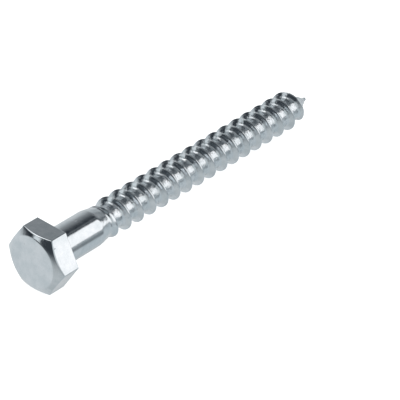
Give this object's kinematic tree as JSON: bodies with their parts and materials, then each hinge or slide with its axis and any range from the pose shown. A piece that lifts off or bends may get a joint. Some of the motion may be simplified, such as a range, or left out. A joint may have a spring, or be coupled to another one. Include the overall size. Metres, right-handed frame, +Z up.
{
  "type": "coach screw",
  "caption": "Hexagon-head coach screw with a plain shank, a coarse right-hand wood thread and a gimlet point, lying at rest on its side",
  "frame": {"origin": "On the surface that the screw lies on, below the middle of its length", "axes": "+Z is up. +X runs from the head to the point, level with the surface: the screw's own axis dips 1.93 degrees below it towards the point. +Y is to the left, seen from the head with +Z up."},
  "size_m": [0.0852, 0.0148, 0.013],
  "materials": {
    "coach_screw": "bright zinc plating over forged and rolled steel, shiny on the head and shank, mottled along the thread"
  },
  "bodies": {
    "root": {"coach_screw": "coach_screw"}
  },
  "joints": []
}
